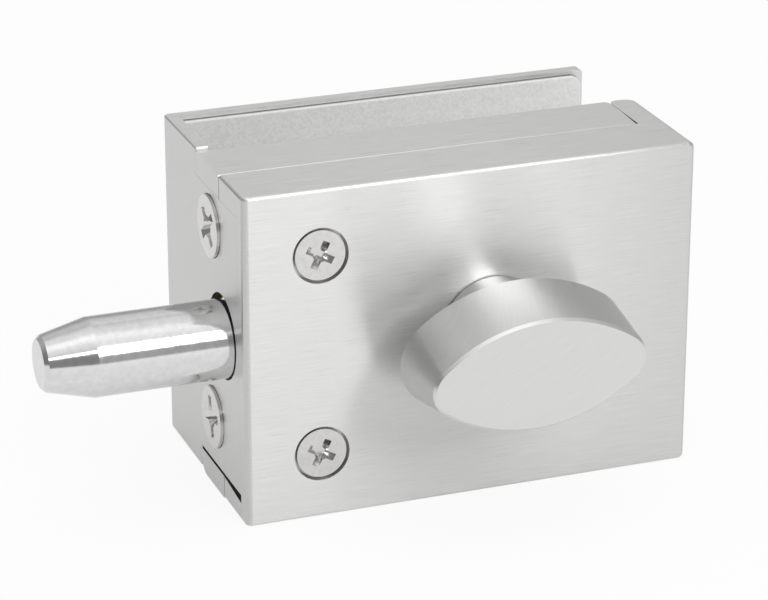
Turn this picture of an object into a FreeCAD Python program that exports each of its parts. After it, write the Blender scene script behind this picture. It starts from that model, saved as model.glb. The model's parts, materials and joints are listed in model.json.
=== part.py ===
"""Clamp-on bolt for a frameless glass door, thrown by a half turn of its thumbturn.

The lock is modelled with X along the bolt from the left end face of the case, Y from the front
face towards the back and Z up from the underside. Every piece is then moved so that the origin
lies at the middle of the underside of the whole lock. All sizes are in millimetres and degrees.
"""
import FreeCAD, Part
import math
import os

V = FreeCAD.Vector

# Case as a whole
case_width = 70.0
case_height = 51.0
case_depth = 38.0

# Front cover: a plate with two flanges and a wall at the right end
cover_plate = 2.5
cover_flange = 3.6
cover_flange_depth = 10.5
cover_end_wall = 4.4
cover_end_wall_depth = 21.5
cover_corner_radius = 0.9
cover_end_round = 2.5
cover_end_inner_round = 1.2
cover_notch_taper = 0.8
cover_left_edge_radius = 1.0
cover_edge_radius = 0.5

# Lock body: the block behind the cover
body_back = 21.7
body_flange = 3.6
body_fit = 0.1
body_seam = 0.15
body_end_slit = 0.08
body_end_round = 1.6
body_end_relief = 0.25
body_end_relief_taper = 6.0
body_low_back_radius = 2.4
body_top_back_radius = 0.4
body_edge_radius = 0.3

# Clamp bracket: a sheet with a back plate and a left end wall
bracket_sheet = 2.0
bracket_height = 51.0
bracket_lift = 0.5
bracket_right_inset = 2.4
bracket_corner_radius = 0.7
bracket_bend_radius = 0.9
bracket_inner_radius = 0.2
bracket_step_radius = 0.25
bracket_edge_radius = 0.3
tongue_top_gap = 0.03
tongue_bottom_gap = 0.55
tongue_front_gap = 0.02
bolt_hole_diameter = 13.0
bolt_hole_depth = 10.15
bolt_hole_lift = 0.25

# Pads and pressure plate that grip the glass
pad_thickness = 1.0
pad_inset = 0.5
pad_bend_gap = 0.15
pad_corner_radius = 2.0
pad_edge_radius = 0.45
pad_back_bevel = 0.25
plate_thickness = 2.5
plate_left = 10.0
plate_end_margin = 4.3
plate_margin = 6.0
plate_corner_radius = 3.0
plate_clearance = 0.3
plate_seat_gap = 0.15

# Grub screws that push the pressure plate
grub_diameter = 6.0
grub_length = 12.0
grub_position = 35.5
grub_spacing = 32.0
grub_socket = 3.0
grub_socket_depth = 3.5

# Cheese head screws of the cover, seen from the front
cover_screw_position = 11.7
cover_screw_spacing = 30.9
cover_screw_thread = 4.0
cover_screw_head = 7.6
cover_screw_head_height = 1.5
cover_screw_length = 8.0
cover_screw_sink = 0.2
cover_screw_ring_gap = 0.45
cover_screw_recess = 4.4
cover_screw_recess_width = 1.15
cover_screw_turn = 62.0

# Countersunk screws of the bracket, seen on the left end
end_screw_depth = 15.0
end_screw_lift = 1.12
end_screw_spacing = 30.25
end_screw_thread = 5.0
end_screw_head = 9.4
end_screw_rim = 0.7
end_screw_proud = 0.5
end_screw_length = 10.0
end_screw_ring_gap = 0.1
end_screw_recess = 6.6
end_screw_recess_width = 1.4
end_screw_upper_turn = 41.0
end_screw_lower_turn = 11.0

# Shared by all screws
recess_depth = 1.4
recess_centre_share = 0.5
recess_foot_length_share = 0.45
recess_foot_width_share = 0.8
thread_clearance = 0.05
thread_runout = 1.5

# Bolt
axis_lift = 0.55
bolt_diameter = 11.8
bolt_reach = 27.6
bolt_depth = 9.95
nose_length = 7.5
nose_tip_diameter = 8.4
nose_edge = 0.6
stem_gap = 0.1
relief_width = 1.0
relief_depth = 0.3
tang_width = 9.2
tang_slot_start = 1.2
running_gap = 0.1

# Guide bush of the bolt
guide_length = 8.0
guide_wall = 0.9
guide_fit = 0.02

# Rack and pinion
gear_module = 1.0
pinion_teeth = 14
pinion_width = 2.8
pressure_angle = 20.0
addendum_modules = 0.8
dedendum_modules = 1.05
backlash = 0.25
rack_mesh_length = 4.5
rack_back_height = 3.4
tail_thickness = 2.4
tail_lug_height = 10.4
tail_arm_width = 7.0
tail_fit = 0.05
tail_clearance = 0.4
tang_clearance = 0.6
channel_top_clearance = 0.8
tail_pin_diameter = 2.0
tail_pin_spacing = 5.0

# Thumbturn
knob_position = 38.2
knob_reach = 18.8
knob_stand_off = 7.4
knob_tilt = 3.2
knob_front_length = 32.8
knob_front_height = 16.7
knob_front_tip_radius = 4.0
knob_back_length = 34.6
knob_back_height = 20.8
knob_back_tip_radius = 7.0
knob_bevel = 0.4
knob_neck_diameter = 16.4
knob_gap = 0.3
spindle_diameter = 10.0
spindle_end_diameter = 8.0
spindle_flat_width = 6.4

# Bush, spring washer and retaining ring of the spindle
bush_diameter = 14.0
bush_flange_diameter = 16.0
bush_flange = 1.0
bush_front_gap = 0.2
washer_space = 1.0
washer_thickness = 0.5
washer_diameter = 15.0
washer_clearance = 0.05
ring_thickness = 0.7
ring_diameter = 11.0
ring_groove_diameter = 6.6
ring_opening = 3.5
ring_end = 0.3

# Values worked out from the sizes above
BEYOND = case_width
middle = case_height / 2
axis_height = middle + axis_lift
bracket_middle = middle + bracket_lift
bolt_radius = bolt_diameter / 2
pitch_radius = gear_module * pinion_teeth / 2
addendum = addendum_modules * gear_module
dedendum = dedendum_modules * gear_module
tip_radius = pitch_radius + addendum
bolt_travel = math.pi * pitch_radius
guide_end = bracket_sheet + guide_length
tang_end = knob_position - tip_radius - bolt_travel - tang_clearance
body_right = case_width - cover_end_wall - body_end_slit
plate_front = body_back - plate_thickness
plate_right = body_right - plate_end_margin
pocket_floor = plate_front - plate_seat_gap
bush_back = cover_plate + bush_flange
pinion_front = bush_back + washer_space
pinion_back = pinion_front + pinion_width
ring_front = pinion_back + washer_clearance
spindle_end = ring_front + ring_thickness + ring_end
tail_front = bolt_depth - tail_thickness / 2
tail_back = bolt_depth + tail_thickness / 2
rack_pitch_line = axis_height - pitch_radius
rack_root = rack_pitch_line - dedendum
rack_bottom = rack_root - rack_back_height
rack_left = guide_end + tail_clearance
rack_right = knob_position + rack_mesh_length
bracket_bottom = bracket_middle - bracket_height / 2
bracket_top = bracket_middle + bracket_height / 2
bracket_right = case_width - bracket_right_inset
bracket_inner = case_depth - bracket_sheet
origin = V((case_width - bolt_reach) / 2, (case_depth - knob_reach) / 2, 0)


def block(x_span, y_span, z_span):
    """Box between two values on each axis."""
    corner = V(x_span[0], y_span[0], z_span[0])
    sides = [span[1] - span[0] for span in (x_span, y_span, z_span)]
    return Part.makeBox(sides[0], sides[1], sides[2], corner)


def prism(points, sweep):
    """Solid swept from a closed outline along a vector."""
    return Part.Face(Part.makePolygon(points + points[:1])).extrude(sweep)


def aim(shape, base, outward):
    """Put a shape made along +Z at a base point, pointing outward."""
    shape.Placement = FreeCAD.Placement(base, FreeCAD.Rotation(V(0, 0, 1), outward))
    return shape


def turned(profile, base, outward):
    """Solid of revolution from (distance along the axis, radius) pairs."""
    points = [V(radius, 0, along) for along, radius in profile]
    face = Part.Face(Part.makePolygon(points + points[:1]))
    return aim(face.revolve(V(0, 0, 0), V(0, 0, 1), 360), base, outward)


def rod_x(radius, x_span, depth, height):
    """Cylinder along X."""
    return Part.makeCylinder(radius, x_span[1] - x_span[0], V(x_span[0], depth, height), V(1, 0, 0))


def rod_y(radius, y_span, position, height):
    """Cylinder along Y."""
    return Part.makeCylinder(radius, y_span[1] - y_span[0], V(position, y_span[0], height), V(0, 1, 0))


def round_edges(shape, radius, wanted):
    """Fillet the edges whose bounding box passes a test."""
    return shape.makeFillet(radius, [edge for edge in shape.Edges if wanted(edge.BoundBox)])


def near(value, target):
    """True where two lengths are equal."""
    return abs(value - target) < 1e-4


def at(low, high, target):
    """True where a span has shrunk to one place."""
    return near(low, target) and near(high, target)


def upright(box, x, y):
    """True for an edge along Z at one X and Y."""
    return at(box.XMin, box.XMax, x) and at(box.YMin, box.YMax, y)


def two_heights(centre, spacing):
    """Heights of an upper and a lower piece."""
    return {"upper": centre + spacing / 2, "lower": centre - spacing / 2}


cover_screw_heights = two_heights(middle, cover_screw_spacing)
end_screw_heights = two_heights(middle + end_screw_lift, end_screw_spacing)
end_screw_turns = {"upper": end_screw_upper_turn, "lower": end_screw_lower_turn}
grub_heights = two_heights(middle, grub_spacing)


# Screws

def screw_form(head, rim, cone, thread, length, extra):
    """Profile of a screw under its rim, grown by extra, with the head's top at zero."""
    shank = thread / 2 + extra
    return [(-rim, head / 2 + extra), (-rim - cone, shank), (-length, shank), (-length, 0)]


def cross_recess(size, width, turn):
    """Two crossed slots round a hollow cone, all narrowing downwards, for a cross point driver."""
    centre = size * recess_centre_share / 2
    foot_centre = centre * recess_foot_length_share
    recess = turned([(0, 0), (0, centre), (-recess_depth, foot_centre), (-recess_depth, 0)],
                    V(0, 0, 0), V(0, 0, 1))
    for angle in (turn, turn + 90):
        top = [V(-size / 2, -width / 2, 0), V(size / 2, -width / 2, 0),
               V(size / 2, width / 2, 0), V(-size / 2, width / 2, 0)]
        foot = [V(point.x * recess_foot_length_share, point.y * recess_foot_width_share, -recess_depth)
                for point in top]
        wires = [Part.makePolygon(ring + ring[:1]) for ring in (top, foot)]
        arm = Part.makeLoft(wires, True, True)
        arm.rotate(V(0, 0, 0), V(0, 0, 1), angle)
        recess = recess.fuse(arm)
    return recess


def cross_head_screw(form, recess, base, outward):
    """Turned screw with a cross recess in its head, which lies at base."""
    head_radius = form[0][1]
    screw = turned([(0, 0), (0, head_radius)] + form, V(0, 0, 0), V(0, 0, 1))
    return aim(screw.cut(recess), base, outward)


def screw_hole(form, mouth_radius, base, outward):
    """Space for a screw, with a round mouth that leaves a gap round the head."""
    rim_depth = form[0][0]
    return turned([(BEYOND, 0), (BEYOND, mouth_radius), (rim_depth, mouth_radius)] + form, base, outward)


def cover_screw_form(runout, extra):
    """Cheese head, flat below."""
    return screw_form(cover_screw_head, cover_screw_head_height, 0, cover_screw_thread,
                      cover_screw_length + runout, extra)


def end_screw_form(runout, extra):
    """Countersunk head of 90 degrees under a low rim."""
    cone = (end_screw_head - end_screw_thread) / 2
    return screw_form(end_screw_head, end_screw_rim, cone, end_screw_thread,
                      end_screw_length + runout, extra)


def cover_screw_base(height):
    """Middle of a cover screw's head, a little below the front face."""
    return V(cover_screw_position, cover_screw_sink, height)


def end_screw_base(height):
    """Middle of an end screw's head, a little proud of the end face."""
    return V(-end_screw_proud, end_screw_depth, height)


def cover_screw(height):
    recess = cross_recess(cover_screw_recess, cover_screw_recess_width, cover_screw_turn)
    return cross_head_screw(cover_screw_form(0, 0), recess, cover_screw_base(height), V(0, -1, 0))


def end_screw(height, turn):
    recess = cross_recess(end_screw_recess, end_screw_recess_width, turn)
    return cross_head_screw(end_screw_form(0, 0), recess, end_screw_base(height), V(-1, 0, 0))


def cover_screw_holes():
    form = cover_screw_form(thread_runout, thread_clearance)
    mouth = cover_screw_head / 2 + cover_screw_ring_gap
    return [screw_hole(form, mouth, cover_screw_base(height), V(0, -1, 0))
            for height in cover_screw_heights.values()]


def end_screw_holes():
    form = end_screw_form(thread_runout, thread_clearance)
    mouth = end_screw_head / 2 + end_screw_ring_gap
    return [screw_hole(form, mouth, end_screw_base(height), V(-1, 0, 0))
            for height in end_screw_heights.values()]


# Case pieces

def back_corner_waste(x, y, radius, side):
    """What is taken off to round an upright back corner, facing right for side 1 and left for side -1."""
    centre_x = x - side * radius
    centre_y = y - radius
    x_span = sorted((centre_x, centre_x + side * BEYOND))
    waste = block(x_span, (centre_y, BEYOND), (-BEYOND, BEYOND))
    return waste.cut(Part.makeCylinder(radius, 2 * BEYOND, V(centre_x, centre_y, -BEYOND)))


def front_cover():
    """Flanged plate, open at the left end, with a deep wall at the right end."""
    inner_right = case_width - cover_end_wall
    plan = [V(0, 0, 0), V(case_width, 0, 0), V(case_width, cover_end_wall_depth, 0),
            V(inner_right, cover_end_wall_depth, 0), V(inner_right, cover_flange_depth, 0),
            V(0, cover_flange_depth, 0)]
    shell = prism(plan, V(0, 0, case_height))
    shell = shell.cut(block((-BEYOND, inner_right), (cover_plate, BEYOND),
                            (cover_flange, case_height - cover_flange)))
    shell = round_edges(shell, cover_corner_radius,
                        lambda box: at(box.XMin, box.XMax, case_width) and box.YLength > cover_plate
                        and near(box.ZLength, 0))
    shell = round_edges(shell, cover_left_edge_radius, lambda box: upright(box, 0, 0))
    past_left_edge = cover_left_edge_radius + cover_edge_radius
    shell = round_edges(shell, cover_edge_radius,
                        lambda box: at(box.YMin, box.YMax, 0) and box.XMax > past_left_edge)
    spindle_hole = rod_y(bush_diameter / 2, (-BEYOND, BEYOND), knob_position, axis_height)
    notch_foot = cover_flange - cover_notch_taper
    notch = prism([V(-BEYOND, cover_plate, middle), V(-BEYOND, cover_flange_depth, cover_flange),
                   V(-BEYOND, cover_plate, notch_foot)], V(BEYOND + bracket_sheet, 0, 0))
    corners = [back_corner_waste(case_width, cover_end_wall_depth, cover_end_round, 1),
               back_corner_waste(inner_right, cover_end_wall_depth, cover_end_inner_round, -1)]
    return shell.cut([spindle_hole, notch] + corners + cover_screw_holes())


def body_end_slit_waste(strip_front):
    """What is taken off the body's right end for a slit that widens towards the front."""
    low = -BEYOND
    relief = body_right - body_end_relief
    taper_end = strip_front + body_end_relief_taper
    plan = [V(body_right, taper_end, low), V(relief, strip_front, low), V(relief, -BEYOND, low),
            V(BEYOND, -BEYOND, low), V(BEYOND, taper_end, low)]
    return prism(plan, V(0, 0, 2 * BEYOND))


def lock_body():
    """Block with a milled channel for the rack, a bore for the bolt and a pocket for the pressure plate."""
    shelf = body_flange
    strip_front = cover_flange_depth + body_seam
    inner_low = cover_flange + body_fit
    inner_high = case_height - cover_flange - body_fit
    section = [V(bracket_sheet, cover_plate, inner_low), V(bracket_sheet, strip_front, inner_low),
               V(bracket_sheet, strip_front, 0), V(bracket_sheet, body_back, 0),
               V(bracket_sheet, body_back, case_height), V(bracket_sheet, strip_front, case_height),
               V(bracket_sheet, strip_front, inner_high), V(bracket_sheet, cover_plate, inner_high)]
    body = prism(section, V(body_right - bracket_sheet, 0, 0))
    for low in (0, case_height - shelf):
        body = body.fuse(block((0, bracket_sheet), (strip_front, body_back), (low, low + shelf)))
    body = body.removeSplitter()
    long_edges = body_right / 2
    for depth, height, radius in ((body_back, 0, body_low_back_radius),
                                  (body_back, case_height, body_top_back_radius),
                                  (strip_front, 0, body_edge_radius),
                                  (strip_front, case_height, body_edge_radius)):
        body = round_edges(body, radius,
                           lambda box: box.XLength > long_edges and at(box.YMin, box.YMax, depth)
                           and at(box.ZMin, box.ZMax, height))
    channel = block((guide_end, BEYOND), (-BEYOND, tail_back + tail_clearance),
                    (rack_bottom - tail_clearance, axis_height + tip_radius + channel_top_clearance))
    guide_bore = rod_x(bolt_radius + running_gap + guide_wall + guide_fit, (bracket_sheet, guide_end),
                       bolt_depth, axis_height)
    bolt_bore = rod_x(bolt_radius + tail_clearance, (guide_end, tang_end + bolt_travel + tail_clearance),
                      bolt_depth, axis_height)
    pocket = rounded_plate(plate_clearance, (pocket_floor, BEYOND))
    corner = back_corner_waste(body_right, body_back, body_end_round, 1)
    cuts = [channel, guide_bore, bolt_bore, pocket, corner, body_end_slit_waste(strip_front)]
    cuts += cover_screw_holes() + end_screw_holes()
    for height in grub_heights.values():
        cuts.append(rod_y(grub_diameter / 2 + running_gap, (-BEYOND, BEYOND), grub_position, height))
    return body.cut(cuts)


def clamp_bracket():
    """Back plate and end wall in one, with a tongue that reaches to the cover between the flanges."""
    tongue_front = cover_plate + tongue_front_gap
    plan = [V(0, tongue_front, 0), V(bracket_sheet, tongue_front, 0), V(bracket_sheet, bracket_inner, 0),
            V(bracket_right, bracket_inner, 0), V(bracket_right, case_depth, 0), V(0, case_depth, 0)]
    bracket = prism([point + V(0, 0, bracket_bottom) for point in plan], V(0, 0, bracket_height))
    step = body_back + body_seam
    flange = max(cover_flange, body_flange)
    tongue_top = case_height - flange - tongue_top_gap
    tongue_bottom = flange + tongue_bottom_gap
    bracket = bracket.cut([block((-BEYOND, BEYOND), (-BEYOND, step), (tongue_top, BEYOND)),
                           block((-BEYOND, BEYOND), (-BEYOND, step), (-BEYOND, tongue_bottom))])
    bracket = round_edges(bracket, bracket_corner_radius,
                          lambda box: at(box.XMin, box.XMax, bracket_right) and near(box.ZLength, 0))
    bracket = round_edges(bracket, bracket_step_radius,
                          lambda box: at(box.YMin, box.YMax, step)
                          and (at(box.ZMin, box.ZMax, bracket_top)
                               or at(box.ZMin, box.ZMax, bracket_bottom)))
    bracket = round_edges(bracket, bracket_inner_radius,
                          lambda box: upright(box, bracket_sheet, bracket_inner))
    bracket = round_edges(bracket, bracket_bend_radius, lambda box: upright(box, 0, case_depth))
    bracket = round_edges(bracket, bracket_edge_radius, lambda box: at(box.YMin, box.YMax, case_depth))
    bolt_hole = rod_x(bolt_hole_diameter / 2, (-BEYOND, BEYOND),
                      bolt_hole_depth, axis_height + bolt_hole_lift)
    return bracket.cut([bolt_hole] + end_screw_holes())


def bolt_guide():
    """Plain bush that carries the bolt inside the body."""
    inner = bolt_radius + running_gap
    outer = inner + guide_wall
    profile = [(0, inner), (0, outer), (guide_length, outer), (guide_length, inner)]
    return turned(profile, V(bracket_sheet, bolt_depth, axis_height), V(1, 0, 0))


# Grip on the glass

def bracket_pad():
    """Soft sheet on the inner face of the back plate, with a soft front edge and a bevelled back edge."""
    pad_left = bracket_sheet + bracket_inner_radius + pad_bend_gap
    pad_right = bracket_right - pad_inset
    pad_front = bracket_inner - pad_thickness
    pad = block((pad_left, pad_right), (pad_front, bracket_inner),
                (bracket_bottom + pad_inset, bracket_top - pad_inset))
    pad = round_edges(pad, pad_corner_radius,
                      lambda box: at(box.XMin, box.XMax, pad_right) and near(box.ZLength, 0))
    pad = round_edges(pad, pad_edge_radius, lambda box: at(box.YMin, box.YMax, pad_front))
    back_edges = [edge for edge in pad.Edges if at(edge.BoundBox.YMin, edge.BoundBox.YMax, bracket_inner)]
    return pad.makeChamfer(pad_back_bevel, back_edges)


def rounded_plate(growth, y_span):
    """Round cornered plate of the pressure plate's outline, grown on all four sides."""
    plate = block((plate_left - growth, plate_right + growth), y_span,
                  (plate_margin - growth, case_height - plate_margin + growth))
    return round_edges(plate, plate_corner_radius,
                       lambda box: near(box.XLength, 0) and near(box.ZLength, 0))


def pressure_plate():
    return rounded_plate(0, (plate_front, plate_front + plate_thickness))


def pressure_pad():
    return rounded_plate(-pad_inset, (body_back, body_back + pad_thickness))


def grub_screw(height):
    """Set screw with a hexagon socket, pressing on the pressure plate."""
    screw = rod_y(grub_diameter / 2, (plate_front - grub_length, plate_front), grub_position, height)
    corner = grub_socket / math.sqrt(3)
    hexagon = []
    for side in range(6):
        angle = math.radians(60 * side)
        hexagon.append(V(grub_position + corner * math.cos(angle), plate_front - grub_length,
                         height + corner * math.sin(angle)))
    return screw.cut(prism(hexagon, V(0, grub_socket_depth, 0)))


# Bolt with its rack

def bolt_pin():
    """Round bolt with a tapered nose, and with a relief groove, flats and a slot at its inner end."""
    length = bolt_reach + tang_end
    tip = nose_tip_diameter / 2
    stem_start = tang_end + stem_gap
    tang_length = stem_start - relief_width
    relief = bolt_radius - relief_depth
    profile = [(0, 0), (0, bolt_radius), (tang_length, bolt_radius), (tang_length, relief),
               (stem_start, relief), (stem_start, bolt_radius), (length - nose_length, bolt_radius),
               (length - nose_edge, tip), (length, tip - nose_edge), (length, 0)]
    pin = turned(profile, V(tang_end, bolt_depth, axis_height), V(-1, 0, 0))
    flat = tang_width / 2
    all_heights = (-BEYOND, BEYOND)
    inner_end = (relief_width - stem_gap, BEYOND)
    slot_depths = (tail_front - tail_fit, tail_back + tail_fit)
    cuts = [block(inner_end, (-BEYOND, bolt_depth - flat), all_heights),
            block(inner_end, (bolt_depth + flat, BEYOND), all_heights),
            block((tang_slot_start, BEYOND), slot_depths, all_heights)]
    return pin.cut(cuts + tail_pin_holes())


def tail_pin_position():
    """Middle of the slot, where the pins cross it."""
    return (tang_slot_start + tang_end) / 2


def tail_pin(height):
    """Cross pin that holds the rack's lug in the bolt."""
    flat = tang_width / 2
    return rod_y(tail_pin_diameter / 2, (bolt_depth - flat, bolt_depth + flat), tail_pin_position(), height)


tail_pin_heights = two_heights(axis_height, tail_pin_spacing)


def tail_pin_holes():
    radius = tail_pin_diameter / 2 + guide_fit
    return [rod_y(radius, (-BEYOND, BEYOND), tail_pin_position(), height)
            for height in tail_pin_heights.values()]


def rack_teeth():
    """Outline of the toothed bar, with a tooth space under the pinion's axis."""
    pitch = math.pi * gear_module
    slope = math.tan(math.radians(pressure_angle))
    tip_half = pitch / 4 - addendum * slope
    root_half = pitch / 4 + dedendum * slope
    tip_line = rack_pitch_line + addendum
    outline = [(rack_left, rack_bottom), (rack_left, rack_root)]
    first = math.ceil((rack_left + root_half - knob_position) / pitch - 0.5)
    last = math.floor((rack_right - root_half - knob_position) / pitch - 0.5)
    for tooth in range(first, last + 1):
        centre = knob_position + (tooth + 0.5) * pitch
        outline += [(centre - root_half, rack_root), (centre - tip_half, tip_line)]
        outline += [(centre + tip_half, tip_line), (centre + root_half, rack_root)]
    outline += [(rack_right, rack_root), (rack_right, rack_bottom)]
    return outline


def rack_tail():
    """Toothed bar with an arm that passes behind the pinion and a lug that is pinned into the bolt."""
    bar_front = pinion_front + tail_clearance
    bar = prism([V(x, bar_front, z) for x, z in rack_teeth()], V(0, tail_back - bar_front, 0))
    half = tail_lug_height / 2
    arm_right = rack_left + tail_arm_width
    lug_left = tang_slot_start + tail_fit
    arm = [V(lug_left, tail_front, axis_height + half), V(arm_right, tail_front, axis_height + half),
           V(arm_right, tail_front, rack_bottom), V(rack_left, tail_front, rack_bottom),
           V(rack_left, tail_front, axis_height - half), V(lug_left, tail_front, axis_height - half)]
    tail = bar.fuse(prism(arm, V(0, tail_thickness, 0))).removeSplitter()
    return tail.cut(tail_pin_holes())


# Thumbturn with its pinion

def lens_wire(lens, inset, depth):
    """Pointed oval of two large arcs and two rounded ends, drawn in from its full size by inset."""
    length, height, full_end_radius = lens
    end_radius = full_end_radius - inset
    reach = length / 2 - full_end_radius
    rise = height / 2 - inset
    side_radius = (reach ** 2 + rise ** 2 - end_radius ** 2) / (2 * (rise - end_radius))
    lean = math.atan2(side_radius - rise, reach)

    def point(x, z):
        return V(knob_position + x, depth, axis_height + z)

    def end_point(side, angle):
        return point(side * (reach + end_radius * math.cos(angle)), end_radius * math.sin(angle))

    arcs = [Part.Arc(end_point(1, -lean), end_point(1, 0), end_point(1, lean)),
            Part.Arc(end_point(1, lean), point(0, rise), end_point(-1, lean)),
            Part.Arc(end_point(-1, lean), end_point(-1, 0), end_point(-1, -lean)),
            Part.Arc(end_point(-1, -lean), point(0, -rise), end_point(1, -lean))]
    return Part.Wire([arc.toShape() for arc in arcs])


def spindle_flats(growth):
    """Double D bar that fits the pinion's bore."""
    reach = (pinion_front, spindle_end)
    bar = rod_y(spindle_end_diameter / 2 + growth, reach, knob_position, axis_height)
    half = spindle_flat_width / 2 + growth
    return bar.common(block((-BEYOND, BEYOND), reach, (axis_height - half, axis_height + half)))


def thumbturn():
    """Tapered lens shaped grip on a round neck, in one with the spindle."""
    front = (knob_front_length, knob_front_height, knob_front_tip_radius)
    back = (knob_back_length, knob_back_height, knob_back_tip_radius)
    sections = [lens_wire(back, knob_bevel, -knob_stand_off),
                lens_wire(back, 0, -knob_stand_off - knob_bevel),
                lens_wire(front, 0, -knob_reach + knob_bevel),
                lens_wire(front, knob_bevel, -knob_reach)]
    grip = Part.makeLoft(sections, True, True)
    neck = knob_neck_diameter / 2
    spindle = spindle_diameter / 2
    stem = turned([(-knob_stand_off, 0), (-knob_stand_off, neck), (-knob_gap, neck), (-knob_gap, spindle),
                   (pinion_front, spindle), (pinion_front, 0)],
                  V(knob_position, 0, axis_height), V(0, 1, 0))
    floor = ring_groove_diameter / 2
    ring_back = ring_front + ring_thickness
    groove = turned([(ring_front, floor), (ring_front, BEYOND), (ring_back, BEYOND), (ring_back, floor)],
                    V(knob_position, 0, axis_height), V(0, 1, 0))
    turn = grip.fuse([stem, spindle_flats(0).cut(groove)]).removeSplitter()
    turn.rotate(V(knob_position, 0, axis_height), V(0, -1, 0), knob_tilt)
    return turn


def pinion():
    """Involute gear with a tooth straight down at rest and a double D bore."""
    drive_angle = math.radians(pressure_angle)
    base_radius = pitch_radius * math.cos(drive_angle)
    root_radius = pitch_radius - dedendum

    def involute(angle):
        return math.tan(angle) - angle

    def half_angle(radius):
        at_pitch = math.pi / (2 * pinion_teeth) - backlash / (2 * pitch_radius)
        here = math.acos(base_radius / max(radius, base_radius))
        return at_pitch + involute(drive_angle) - involute(here)

    def point(radius, angle):
        x = knob_position + radius * math.sin(angle)
        z = axis_height - radius * math.cos(angle)
        return V(x, pinion_front, z)

    def arc(start, between, end):
        return Part.Arc(start, between, end).toShape()

    flank = (base_radius, (base_radius + tip_radius) / 2, tip_radius)
    step = 2 * math.pi / pinion_teeth
    edges = []
    for tooth in range(pinion_teeth):
        centre = tooth * step
        rising = [point(radius, centre - half_angle(radius)) for radius in flank]
        falling = [point(radius, centre + half_angle(radius)) for radius in reversed(flank)]
        foot = half_angle(base_radius)
        root_before = point(root_radius, centre - foot)
        root_after = point(root_radius, centre + foot)
        root_next = point(root_radius, centre + step - foot)
        edges += [Part.makeLine(root_before, rising[0]), arc(rising[0], rising[1], rising[2]),
                  arc(rising[2], point(tip_radius, centre), falling[0]),
                  arc(falling[0], falling[1], falling[2]), Part.makeLine(falling[2], root_after),
                  arc(root_after, point(root_radius, centre + step / 2), root_next)]
    gear = Part.Face(Part.Wire(edges)).extrude(V(0, pinion_width, 0))
    bore = spindle_flats(tail_fit)
    bore.rotate(V(knob_position, 0, axis_height), V(0, -1, 0), knob_tilt)
    return gear.cut(bore)


def spindle_bush():
    """Flanged bush pressed into the cover from behind."""
    inner = spindle_diameter / 2 + running_gap
    outer = bush_diameter / 2
    flange = bush_flange_diameter / 2
    profile = [(bush_front_gap, inner), (bush_front_gap, outer), (cover_plate, outer),
               (cover_plate, flange), (bush_back, flange), (bush_back, inner)]
    return turned(profile, V(knob_position, 0, axis_height), V(0, 1, 0))


def spring_washer():
    """Disc spring between the bush and the pinion."""
    inner = spindle_diameter / 2 + running_gap
    outer = washer_diameter / 2
    front = bush_back + washer_clearance
    back = pinion_front - washer_clearance
    profile = [(front, inner), (back - washer_thickness, outer), (back, outer),
               (front + washer_thickness, inner)]
    return turned(profile, V(knob_position, 0, axis_height), V(0, 1, 0))


def retaining_ring():
    """Split ring in the spindle's groove."""
    inner = ring_groove_diameter / 2 + guide_fit
    outer = ring_diameter / 2
    front = ring_front + guide_fit
    back = ring_front + ring_thickness - guide_fit
    profile = [(front, inner), (front, outer), (back, outer), (back, inner)]
    ring = turned(profile, V(knob_position, 0, axis_height), V(0, 1, 0))
    half = ring_opening / 2
    opening = block((knob_position - half, knob_position + half), (-BEYOND, BEYOND), (-BEYOND, axis_height))
    return ring.cut(opening)


pieces = {
    "front_cover": front_cover(),
    "lock_body": lock_body(),
    "clamp_bracket": clamp_bracket(),
    "bolt_guide": bolt_guide(),
    "bracket_pad": bracket_pad(),
    "pressure_plate": pressure_plate(),
    "pressure_pad": pressure_pad(),
    "bolt_pin": bolt_pin(),
    "rack_tail": rack_tail(),
    "thumbturn": thumbturn(),
    "pinion": pinion(),
    "spindle_bush": spindle_bush(),
    "spring_washer": spring_washer(),
    "retaining_ring": retaining_ring(),
}
for place in ("upper", "lower"):
    pieces["cover_screw_" + place] = cover_screw(cover_screw_heights[place])
    pieces["end_screw_" + place] = end_screw(end_screw_heights[place], end_screw_turns[place])
    pieces["grub_screw_" + place] = grub_screw(grub_heights[place])
    pieces["tail_pin_" + place] = tail_pin(tail_pin_heights[place])

os.makedirs("parts", exist_ok=True)
for name, piece in pieces.items():
    piece.translate(-origin)
    piece.exportStep("parts/" + name + ".step")
    print(name, "solids", len(piece.Solids), "valid", piece.isValid(), "volume", round(piece.Volume, 1))
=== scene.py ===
"""Looks of the clamp-on glass door bolt: satin steel case, bright bolt, studio light and camera."""
import json
import math

import bpy
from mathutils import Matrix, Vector


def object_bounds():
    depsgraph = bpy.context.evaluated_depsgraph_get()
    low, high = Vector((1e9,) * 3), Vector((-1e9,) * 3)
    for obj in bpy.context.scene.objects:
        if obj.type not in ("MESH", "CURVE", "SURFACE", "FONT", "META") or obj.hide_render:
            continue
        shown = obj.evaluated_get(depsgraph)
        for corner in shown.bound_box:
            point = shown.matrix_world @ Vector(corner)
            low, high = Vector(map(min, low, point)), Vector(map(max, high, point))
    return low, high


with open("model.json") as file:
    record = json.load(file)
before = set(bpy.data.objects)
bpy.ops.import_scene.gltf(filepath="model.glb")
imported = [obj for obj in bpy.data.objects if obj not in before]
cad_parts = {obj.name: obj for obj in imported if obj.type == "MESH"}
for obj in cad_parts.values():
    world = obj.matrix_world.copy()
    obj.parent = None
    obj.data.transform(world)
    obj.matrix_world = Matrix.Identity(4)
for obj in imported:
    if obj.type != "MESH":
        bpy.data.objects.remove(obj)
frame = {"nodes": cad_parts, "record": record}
cad_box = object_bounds()
MM = 0.001

# Camera of the photograph
CAMERA_PLACE = Vector((-152.26, -420.76, 210.54)) * MM
CAMERA_FORWARD = Vector((0.3220, 0.8690, -0.3756))
CAMERA_LENS_MM = 153.96
SENSOR_MM = 36.0

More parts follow.
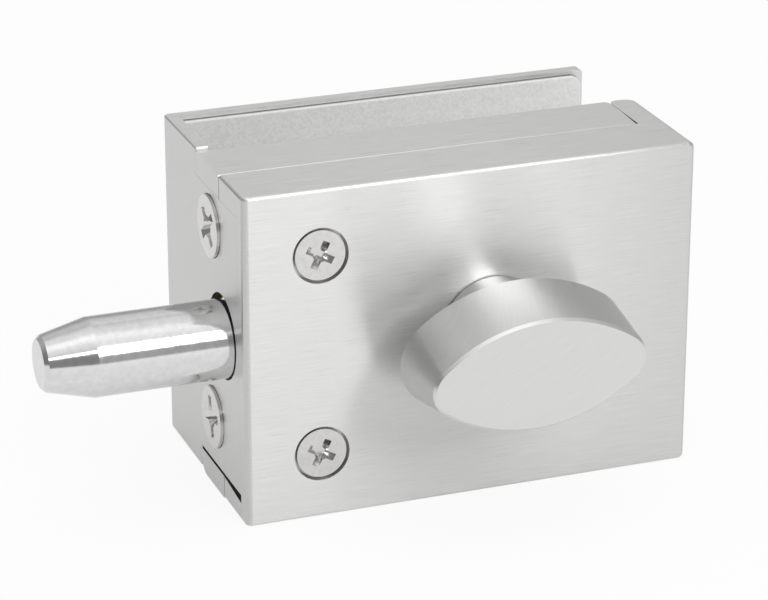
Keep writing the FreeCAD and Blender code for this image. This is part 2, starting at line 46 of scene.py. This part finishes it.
# Colours of the metals, the pads and the floor
STEEL = (0.74, 0.74, 0.735, 1)
CHROME = (0.76, 0.76, 0.76, 1)
SCREW = (0.72, 0.715, 0.70, 1)
ZINC = (0.55, 0.56, 0.58, 1)
BLACK = (0.035, 0.035, 0.038, 1)
BRASS = (0.62, 0.43, 0.17, 1)
RUBBER = (0.92, 0.92, 0.91, 1)
# Painted shade for the pads' cut edges, standing in for the shadowed gap between plate and pad
PAINTED_EDGE_SHADE = (0.16, 0.16, 0.16, 1)
FLOOR = (0.84, 0.84, 0.84, 1)

# Span that holds nearly all values of a noise texture, and how rough its finer detail is
NOISE_LOW = 0.3
NOISE_HIGH = 0.7
NOISE_ROUGHNESS = 0.6

# Brushed metal: turn of the lines about each axis, levels of detail, change of roughness either way
CASE_BRUSH_TURN = (0, 0, 0)
KNOB_BRUSH_TURN = (0, math.radians(35), 0)
BRUSH_DETAIL = 3.0
BRUSH_ROUGHNESS_CHANGE = 0.03

# A quarter turn, since brushed metal blurs its reflections across its lines
ACROSS_THE_LINES = 0.25

# Plated metal: levels of detail, darkest and lightest shade, least and most share of the roughness
PLATING_DETAIL = 4.0
PLATING_SHADES = (0.92, 1.04)
PLATING_ROUGHNESS_SHARES = (0.7, 1.4)

# Pads: roughness, size, detail, depth and shades of the grain
PAD_ROUGHNESS = 0.6
PAD_GRAIN_MM = 0.4
PAD_DETAIL = 3.0
PAD_DEPTH_MM = 0.05
PAD_SHADES = (0.91, 1.06)

# A pad's surface gets painted shade on its cut edges below the first share of facing front or back, standing
# in for the shadowed gap between plate and pad, and is sheet above the second
PAINTED_SHADE_FACING = 0.3
SHEET_FACING = 0.8

# Floor: half its side in metres, its gap below the lock, and its share of plain white for camera and metal
FLOOR_HALF = 10.0
FLOOR_GAP_MM = 0.05
FLOOR_GLOW_SEEN = 0.9
FLOOR_GLOW_MIRRORED = 0.36

# Sky from the horizon up: height from 0 to 1, brightness
SKY_STOPS = [(0.0, 0.44), (0.2, 0.42), (0.37, 0.44), (0.85, 0.66), (1.0, 1.0)]

# Patches of the sky: azimuth, elevation, inner and outer radius in degrees, change of brightness
SKY_PATCHES = [
    (18, 44, 9, 19, 0.18),
    (36, 24, 8, 18, 0.28),
    (-120, 10, 30, 70, -0.2),
    (-175, 62, 14, 34, 0.4),
]

# Point that the lamps face
LAMP_TARGET = Vector((0, 0, 0.026))


# Shader building

class Shader:
    """A new material with a Principled shader and short calls for adding nodes to it."""

    def __init__(self, name, base, metallic, roughness):
        self.material = bpy.data.materials.new(name)
        self.material.use_nodes = True
        self.tree = self.material.node_tree
        self.surface = self.tree.nodes["Principled BSDF"]
        self.set("Base Color", base)
        self.set("Metallic", metallic)
        self.set("Roughness", roughness)

    def set(self, socket, value):
        self.surface.inputs[socket].default_value = value

    def node(self, kind, **inputs):
        made = self.tree.nodes.new(kind)
        for name, value in inputs.items():
            made.inputs[name.replace("_", " ")].default_value = value
        return made

    def calculate(self, operation, first, second=None):
        """A calculation with a socket and, where it needs one, a fixed number."""
        made = self.node("ShaderNodeMath")
        made.operation = operation
        self.link(first, made.inputs[0])
        if second is not None:
            made.inputs[1].default_value = second
        return made

    def link(self, source, target):
        self.tree.links.new(source, target)

    def place(self, grain_mm, turn=CASE_BRUSH_TURN):
        """Object coordinates, turned and then measured in grains along each axis."""
        coordinates = self.node("ShaderNodeTexCoord")
        turned = self.node("ShaderNodeMapping", Rotation=turn)
        stretched = self.node("ShaderNodeMapping", Scale=[1 / size / MM for size in grain_mm])
        self.link(coordinates.outputs["Object"], turned.inputs["Vector"])
        self.link(turned.outputs["Vector"], stretched.inputs["Vector"])
        return stretched.outputs["Vector"]

    def noise(self, where, detail):
        made = self.node("ShaderNodeTexNoise", Scale=1.0, Detail=detail, Roughness=NOISE_ROUGHNESS)
        self.link(where, made.inputs["Vector"])
        return made.outputs["Fac"]

    def spread(self, value, low, high, from_low=NOISE_LOW, from_high=NOISE_HIGH):
        """A value brought from its usual span to a chosen one."""
        made = self.node("ShaderNodeMapRange", From_Min=from_low, From_Max=from_high, To_Min=low, To_Max=high)
        self.link(value, made.inputs["Value"])
        return made.outputs["Result"]

    def mix(self, value, dark, light):
        """Colour between two shades by a value from 0 to 1."""
        made = self.tree.nodes.new("ShaderNodeMix")
        made.data_type = "RGBA"
        made.inputs["A"].default_value = dark
        made.inputs["B"].default_value = light
        self.link(value, made.inputs["Factor"])
        return made

    def tint(self, mixed):
        """Colour the surface with a mix of shades."""
        self.link(mixed.outputs["Result"], self.surface.inputs["Base Color"])

    def bump(self, height, depth_mm):
        made = self.node("ShaderNodeBump", Strength=1.0, Distance=depth_mm * MM)
        self.link(height, made.inputs["Height"])
        self.link(made.outputs["Normal"], self.surface.inputs["Normal"])

    def brush_along(self, direction):
        """Direction of the brush lines, which turns with the piece."""
        axis = self.node("ShaderNodeCombineXYZ", X=direction[0], Y=direction[1], Z=direction[2])
        turned = self.node("ShaderNodeVectorTransform")
        turned.vector_type = "VECTOR"
        turned.convert_from = "OBJECT"
        turned.convert_to = "WORLD"
        self.link(axis.outputs["Vector"], turned.inputs["Vector"])
        self.link(turned.outputs["Vector"], self.surface.inputs["Tangent"])


def shade(colour, factor):
    """The same colour, lighter or darker."""
    return tuple(channel * factor for channel in colour[:3]) + (1,)


def brushed(name, base, grain_mm, turn, roughness, anisotropy, depth_mm, contrast):
    """Metal with fine brush lines, whose grain is the size of a line along each axis."""
    shader = Shader(name, base, 1.0, roughness)
    lines = shader.noise(shader.place(grain_mm, turn), BRUSH_DETAIL)
    shader.tint(shader.mix(shader.spread(lines, 0, 1), shade(base, 1 - contrast), shade(base, 1 + contrast)))
    smoothest = roughness - BRUSH_ROUGHNESS_CHANGE
    roughest = roughness + BRUSH_ROUGHNESS_CHANGE
    shader.link(shader.spread(lines, smoothest, roughest), shader.surface.inputs["Roughness"])
    shader.bump(lines, depth_mm)
    shader.set("Anisotropic", anisotropy)
    shader.set("Anisotropic Rotation", ACROSS_THE_LINES)
    shader.brush_along((math.cos(turn[1]), 0, math.sin(turn[1])))
    return shader.material


def bright(name, base, roughness, grain_mm, depth_mm):
    """Plated metal with a slight waviness and small flaws."""
    shader = Shader(name, base, 1.0, roughness)
    waves = shader.noise(shader.place((grain_mm,) * 3), PLATING_DETAIL)
    dark, light = [shade(base, factor) for factor in PLATING_SHADES]
    shader.tint(shader.mix(shader.spread(waves, 0, 1), dark, light))
    smoothest, roughest = [roughness * share for share in PLATING_ROUGHNESS_SHARES]
    shader.link(shader.spread(waves, smoothest, roughest), shader.surface.inputs["Roughness"])
    shader.bump(waves, depth_mm)
    return shader.material


def pad_sheet(name, base, edge_shade_colour):
    """Soft sheet across Y with a fine speckled grain, and painted shade on its cut edges for the shadowed gap
    between plate and pad.
    """
    shader = Shader(name, base, 0.0, PAD_ROUGHNESS)
    grain = shader.noise(shader.place((PAD_GRAIN_MM,) * 3), PAD_DETAIL)
    dark, light = [shade(base, factor) for factor in PAD_SHADES]
    speckle = shader.mix(shader.spread(grain, 0, 1), dark, light)
    normal = shader.node("ShaderNodeSeparateXYZ")
    shader.link(shader.node("ShaderNodeTexCoord").outputs["Normal"], normal.inputs["Vector"])
    facing = shader.calculate("ABSOLUTE", normal.outputs["Y"]).outputs["Value"]
    # Painted shade on the cut edges, where the surface faces neither front nor back
    sheet = shader.mix(shader.spread(facing, 0, 1, PAINTED_SHADE_FACING, SHEET_FACING), edge_shade_colour, base)
    shader.link(speckle.outputs["Result"], sheet.inputs["B"])
    shader.tint(sheet)
    shader.bump(grain, PAD_DEPTH_MM)
    return shader.material


materials = {
    "satin_steel": brushed("satin_steel", STEEL, grain_mm=(7, 0.12, 0.12), turn=CASE_BRUSH_TURN,
                           roughness=0.30, anisotropy=1.0, depth_mm=0.002, contrast=0.06),
    "satin_steel_turn": brushed("satin_steel_turn", STEEL, grain_mm=(4, 4, 0.14), turn=KNOB_BRUSH_TURN,
                                roughness=0.34, anisotropy=0.3, depth_mm=0.001, contrast=0.03),
    "chrome": bright("chrome", CHROME, roughness=0.10, grain_mm=1.1, depth_mm=0.008),
    "screw_steel": bright("screw_steel", SCREW, roughness=0.16, grain_mm=0.8, depth_mm=0.006),
    "zinc_steel": bright("zinc_steel", ZINC, roughness=0.35, grain_mm=1.2, depth_mm=0.01),
    "black_steel": bright("black_steel", BLACK, roughness=0.4, grain_mm=1.0, depth_mm=0.01),
    "brass": bright("brass", BRASS, roughness=0.25, grain_mm=1.0, depth_mm=0.006),
    # The pads get painted shade on their cut edges
    "grey_rubber": pad_sheet("grey_rubber", RUBBER, PAINTED_EDGE_SHADE),
}
for part in frame["record"]["subparts"]:
    node = frame["nodes"][part["node"]]
    node.data.materials.clear()
    node.data.materials.append(materials[part["material_slot"]])


# Floor, world, lamps and camera

def add_floor():
    """Grey floor that the camera sees as white, apart from the lock's shadow."""
    corners = [(-FLOOR_HALF, -FLOOR_HALF, 0), (FLOOR_HALF, -FLOOR_HALF, 0),
               (FLOOR_HALF, FLOOR_HALF, 0), (-FLOOR_HALF, FLOOR_HALF, 0)]
    mesh = bpy.data.meshes.new("floor")
    mesh.from_pydata(corners, [], [(0, 1, 2, 3)])
    plane = bpy.data.objects.new("floor", mesh)
    bpy.context.scene.collection.objects.link(plane)
    plane.location.z = cad_box[0].z - FLOOR_GAP_MM * MM
    shader = Shader("floor_white", FLOOR, 0.0, 1.0)
    shader.set("Specular IOR Level", 0.0)
    glow = shader.node("ShaderNodeEmission")
    path = shader.node("ShaderNodeLightPath")
    seen = shader.calculate("MULTIPLY", path.outputs["Is Camera Ray"], FLOOR_GLOW_SEEN)
    share = shader.calculate("MULTIPLY_ADD", path.outputs["Is Glossy Ray"], FLOOR_GLOW_MIRRORED)
    shader.link(seen.outputs["Value"], share.inputs[2])
    mix = shader.node("ShaderNodeMixShader")
    shader.link(share.outputs["Value"], mix.inputs["Fac"])
    shader.link(shader.surface.outputs["BSDF"], mix.inputs[1])
    shader.link(glow.outputs["Emission"], mix.inputs[2])
    shader.link(mix.outputs["Shader"], shader.tree.nodes["Material Output"].inputs["Surface"])
    mesh.materials.append(shader.material)


def aim_at(azimuth, elevation):
    """Direction by degrees to the right of straight back and degrees above the floor."""
    across, up = math.radians(azimuth), math.radians(elevation)
    return Vector((math.sin(across) * math.cos(up), math.cos(across) * math.cos(up), math.sin(up)))


def add_studio():
    """Pale surroundings, darker near the horizon than overhead, with soft patches of light and dark."""
    world = bpy.data.worlds.new("studio")
    bpy.context.scene.world = world
    world.use_nodes = True
    tree = world.node_tree
    sky = tree.nodes["Background"]
    direction = tree.nodes.new("ShaderNodeTexCoord").outputs["Generated"]
    split = tree.nodes.new("ShaderNodeSeparateXYZ")
    ramp = tree.nodes.new("ShaderNodeValToRGB")
    while len(ramp.color_ramp.elements) < len(SKY_STOPS):
        ramp.color_ramp.elements.new(0.5)
    for element, (height, grey) in zip(ramp.color_ramp.elements, SKY_STOPS):
        element.position = height
        element.color = (grey, grey, grey, 1)
    tree.links.new(direction, split.inputs["Vector"])
    tree.links.new(split.outputs["Z"], ramp.inputs["Fac"])
    level = ramp.outputs["Color"]
    for azimuth, elevation, inner, outer, change in SKY_PATCHES:
        nearness = tree.nodes.new("ShaderNodeVectorMath")
        nearness.operation = "DOT_PRODUCT"
        nearness.inputs[1].default_value = aim_at(azimuth, elevation)
        patch = tree.nodes.new("ShaderNodeMapRange")
        patch.interpolation_type = "SMOOTHSTEP"
        patch.inputs["From Min"].default_value = math.cos(math.radians(outer))
        patch.inputs["From Max"].default_value = math.cos(math.radians(inner))
        patch.inputs["To Max"].default_value = change
        total = tree.nodes.new("ShaderNodeMath")
        tree.links.new(direction, nearness.inputs[0])
        tree.links.new(nearness.outputs["Value"], patch.inputs["Value"])
        tree.links.new(level, total.inputs[0])
        tree.links.new(patch.outputs["Result"], total.inputs[1])
        level = total.outputs["Value"]
    tree.links.new(level, sky.inputs["Color"])
    sky.inputs["Strength"].default_value = 1.0


def add_softbox(name, place, width, height, watts, mirrored=True):
    """Area lamp that faces the lock, and that the metal may mirror. Place and sides are in metres."""
    lamp = bpy.data.lights.new(name, "AREA")
    lamp.shape = "RECTANGLE"
    lamp.size = width
    lamp.size_y = height
    lamp.energy = watts
    holder = bpy.data.objects.new(name, lamp)
    bpy.context.scene.collection.objects.link(holder)
    holder.location = place
    holder.rotation_euler = (LAMP_TARGET - Vector(place)).to_track_quat("-Z", "Y").to_euler()
    holder.visible_camera = False
    holder.visible_glossy = mirrored


def add_camera():
    """Camera at the photograph's view."""
    lens = bpy.data.cameras.new("camera")
    lens.lens = CAMERA_LENS_MM
    lens.sensor_width = SENSOR_MM
    holder = bpy.data.objects.new("camera", lens)
    bpy.context.scene.collection.objects.link(holder)
    holder.location = CAMERA_PLACE
    holder.rotation_euler = CAMERA_FORWARD.to_track_quat("-Z", "Y").to_euler()
    bpy.context.scene.camera = holder


add_floor()
add_studio()
add_softbox("front_softbox", place=(0.125, -0.40, 0.298), width=0.2, height=0.21, watts=0.55)
add_softbox("nose_softbox", place=(-0.17, -0.4, 0.31), width=0.12, height=0.07, watts=0.06)
add_softbox("floor_fill", place=(-0.1, -0.1, 1.3), width=1.7, height=1.7, watts=6.0, mirrored=False)
add_camera()
bpy.context.scene.view_settings.view_transform = "Standard"
